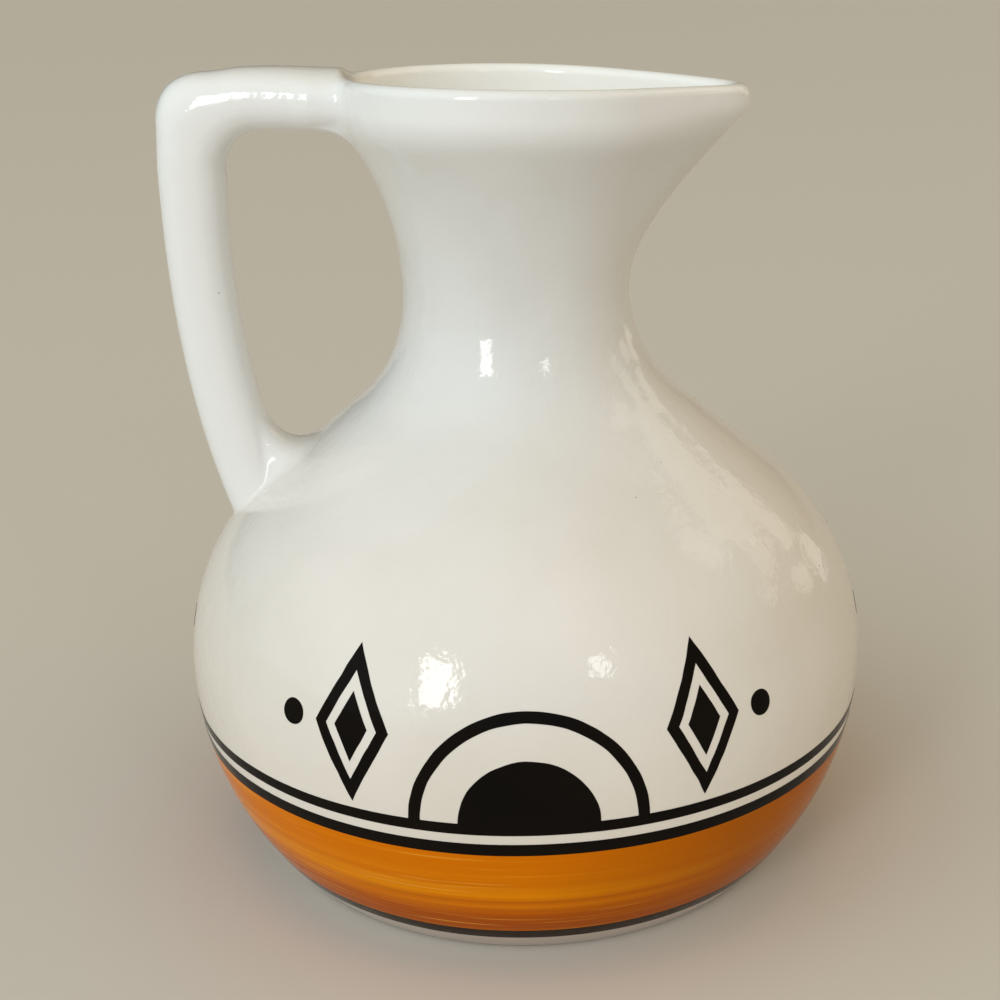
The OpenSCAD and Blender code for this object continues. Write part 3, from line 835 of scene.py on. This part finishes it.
# The brush strays a little along the surface
flat = add(lay, "GeometryNodeInputPosition").outputs[0]
flat_split = add(lay, "ShaderNodeSeparateXYZ", {"Vector": flat})
level = add(lay, "ShaderNodeCombineXYZ", {"X": flat_split.outputs[0], "Z": flat_split.outputs[2]})
brush = add(lay, "ShaderNodeTexNoise", {"Vector": level.outputs[0], "Scale": 160.0, "Detail": 1.0})
brush_split = add(lay, "ShaderNodeSeparateXYZ", {"Vector": brush.outputs["Color"]})
stray_x = beyond(lay, brush_split.outputs[0], 0.5, given["Waver"])
stray_z = beyond(lay, brush_split.outputs[1], 0.5, given["Waver"])
aside = calc(lay, "ADD", calc(lay, "SUBTRACT", flat_split.outputs[0], read(lay, "middle")), stray_x)
up = calc(lay, "ADD", calc(lay, "ADD", flat_split.outputs[2], stray_z), given["Foot of the group"])

# The belly's arc at that height, the lower one or the shoulder's, and the way out from it
over = calc(lay, "SUBTRACT", up, given["Belly height"])
is_low = calc(lay, "LESS_THAN", over, 0.0)
curve_r = calc(lay, "MULTIPLY_ADD", is_low,
               calc(lay, "SUBTRACT", given["Lower curve"], given["Shoulder curve"]), given["Shoulder curve"])
reach_out = calc(lay, "SUBTRACT", calc(lay, "POWER", curve_r, 2.0), calc(lay, "POWER", over, 2.0))
reach_out = calc(lay, "SQRT", reach_out)
belly_at = calc(lay, "ADD", calc(lay, "SUBTRACT", given["Belly radius"], curve_r), reach_out)
off_belly = calc(lay, "MULTIPLY_ADD", flat_split.outputs[1], calc(lay, "ADD", given["Proud"], given["Sunk"]),
                 calc(lay, "MULTIPLY", given["Sunk"], -1.0))
off_share = calc(lay, "DIVIDE", off_belly, curve_r)
radius = calc(lay, "MULTIPLY_ADD", off_share, reach_out, belly_at)
tall = calc(lay, "ADD", calc(lay, "MULTIPLY_ADD", off_share, over, over), given["Belly height"])
bearing = calc(lay, "ARCSINE", calc(lay, "DIVIDE", aside, belly_at))
bearing = calc(lay, "ADD", bearing, calc(lay, "DIVIDE", read(lay, "middle"), given["Belly radius"]))
laid_at = add(lay, "ShaderNodeCombineXYZ", {
    "X": calc(lay, "MULTIPLY", radius, calc(lay, "SINE", bearing)),
    "Y": calc(lay, "MULTIPLY", calc(lay, "MULTIPLY", radius, -1.0), calc(lay, "COSINE", bearing)),
    "Z": tall})
laid = add(lay, "GeometryNodeSetPosition", {"Geometry": whole.outputs[0], "Position": laid_at.outputs[0]})
posts = add(lay, "GeometryNodePoints", {"Count": given["Groups"]})
post_no = add(lay, "GeometryNodeInputIndex").outputs[0]
post_a = calc(lay, "DIVIDE", calc(lay, "MULTIPLY", post_no, 2*math.pi), given["Groups"])
post_turn = add(lay, "ShaderNodeCombineXYZ", {"Z": post_a})
groups = add(lay, "GeometryNodeInstanceOnPoints", {
    "Points": posts.outputs[0], "Instance": laid.outputs[0], "Rotation": post_turn.outputs[0]})
close_tree(lay, groups.outputs[0], given["Finish"])
motifs = new_piece("painted_motif_groups", flat_points, [], flat_faces, {"middle": flat_middles})
settle(motifs, lay, lay_keys, {
    "Groups": motif_count, "Belly radius": belly_r*MM, "Belly height": belly_h*MM, "Lower curve": lower_r*MM,
    "Shoulder curve": shoulder_r*MM, "Foot of the group": (upper_line_high - line_lap)*MM,
    "Proud": motif_proud*MM, "Sunk": band_sunk*MM, "Waver": motif_waver*MM, "Finish": black})
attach(motifs, "root")
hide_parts("painted_motifs")

# Floor, light and camera
# A plain pale floor in a room whose light comes from all round, with a tall window at the left of the
# camera, a small one at its right and panes behind. The camera stands where the photo was taken.
# Sizes in metres and degrees; azimuth 0 is the front, and to the right is plus.
floor_colour = (0.66, 0.62, 0.565, 1)
floor_half = 45.0
floor_z = -0.0001
floor_corners = [(x*floor_half, y*floor_half, floor_z) for x, y in ((-1, -1), (1, -1), (1, 1), (-1, 1))]
floor_mesh = bpy.data.meshes.new("Floor")
floor_mesh.from_pydata(floor_corners, [], [(0, 1, 2, 3)])
floor_piece = bpy.data.objects.new("Floor", floor_mesh)
bpy.context.scene.collection.objects.link(floor_piece)
floor_finish = bpy.data.materials.new("Pale floor")
floor_finish.use_nodes = True
floor_shader = floor_finish.node_tree.nodes["Principled BSDF"]
floor_shader.inputs["Base Color"].default_value = floor_colour
floor_shader.inputs["Roughness"].default_value = 0.9
floor_mesh.materials.append(floor_finish)

# The room is stronger from a few sides: azimuth, elevation and colour of each
room_light = (0.01, 0.01, 0.01)
room_sides = (
    (-66, 20, (1.00, 1.10, 1.05)),
    (0, 25, (0.22, 0.30, 0.44)),
    (30, 55, (0.46, 0.44, 0.37)),
    (82, 42, (0.34, 0.21, 0.02)),
    (140, 20, (0.36, 0.30, 0.22)),
)
world = bpy.data.worlds.new("Room")
world.use_nodes = True
tree = world.node_tree
toward = add(tree, "ShaderNodeTexCoord").outputs["Generated"]
total = add(tree, "ShaderNodeCombineXYZ", dict(zip("XYZ", room_light))).outputs[0]
for azimuth, elevation, colour in room_sides:
    az = math.radians(azimuth)
    el = math.radians(elevation)
    facing = (math.sin(az)*math.cos(el), -math.cos(az)*math.cos(el), math.sin(el))
    dot = add(tree, "ShaderNodeVectorMath", {0: toward, 1: facing}, operation="DOT_PRODUCT")
    lobe = calc(tree, "POWER", calc(tree, "MAXIMUM", dot.outputs["Value"], 0.0), 2.0)
    tinted = add(tree, "ShaderNodeVectorMath", {0: colour, "Scale": lobe}, operation="SCALE")
    total = add(tree, "ShaderNodeVectorMath", {0: total, 1: tinted.outputs[0]}, operation="ADD").outputs[0]
tree.links.new(total, tree.nodes["Background"].inputs["Color"])
bpy.context.scene.world = world

light_aim = (0, 0, 0.1)
light_far = 2.4


def soft_light(name, azimuth, elevation, width, height, roll, power, colour):
    """A soft rectangular light that looks at the belly."""
    lamp = bpy.data.lights.new(name, "AREA")
    lamp.shape = "RECTANGLE"
    lamp.size = width
    lamp.size_y = height
    lamp.energy = power
    lamp.color = colour
    holder = bpy.data.objects.new(name, lamp)
    bpy.context.scene.collection.objects.link(holder)
    turned = Matrix.Rotation(math.radians(azimuth), 4, "Z")
    tipped = Matrix.Rotation(math.radians(90 - elevation), 4, "X")
    rolled = Matrix.Rotation(math.radians(roll), 4, "Z")
    away = Matrix.Translation((0, 0, light_far))
    holder.matrix_world = Matrix.Translation(light_aim) @ turned @ tipped @ away @ rolled
    return holder


window_white = (1.0, 1.0, 1.0)
soft_light("Left window", -30, 19, 0.42, 0.95, 0, 10, window_white)
soft_light("Right window", 25.5, 26, 0.22, 0.35, 0, 1.4, window_white)
# The panes only show as broken patches in the gloss of the right shoulder: place, size and roll of each
pane_colour = (1.0, 0.94, 0.82)
pane_power = 2.7
panes = (
    (120, 37, 0.62, 0.72, 20), (127, 21, 0.42, 0.66, -25), (110, 25, 0.55, 0.38, 35), (129, 4, 0.34, 0.5, 15),
    (116, 9, 0.5, 0.3, -30), (101, 44, 0.42, 0.6, -15), (139, 33, 0.3, 0.7, 10), (99, 18, 0.34, 0.3, 25))
for azimuth, elevation, width, height, roll in panes:
    power = pane_power*width*height
    pane = soft_light("Pane behind", azimuth, elevation, width, height, roll, power, pane_colour)
    pane.visible_diffuse = False

camera_at = (0, -0.39975, 0.2302)
camera_tilt = math.radians(70.796)
camera_roll = math.radians(-1.114)
camera = bpy.data.objects.new("Camera", bpy.data.cameras.new("Camera"))
bpy.context.scene.collection.objects.link(camera)
camera.data.sensor_width = 36.0
camera.data.lens = 57.913
camera.data.shift_x = -0.02304
camera.data.clip_start = 0.01
camera.matrix_world = (Matrix.Translation(camera_at) @ Matrix.Rotation(camera_tilt, 4, "X")
                       @ Matrix.Rotation(camera_roll, 4, "Z"))
bpy.context.scene.camera = camera
bpy.context.scene.view_settings.view_transform = "Standard"
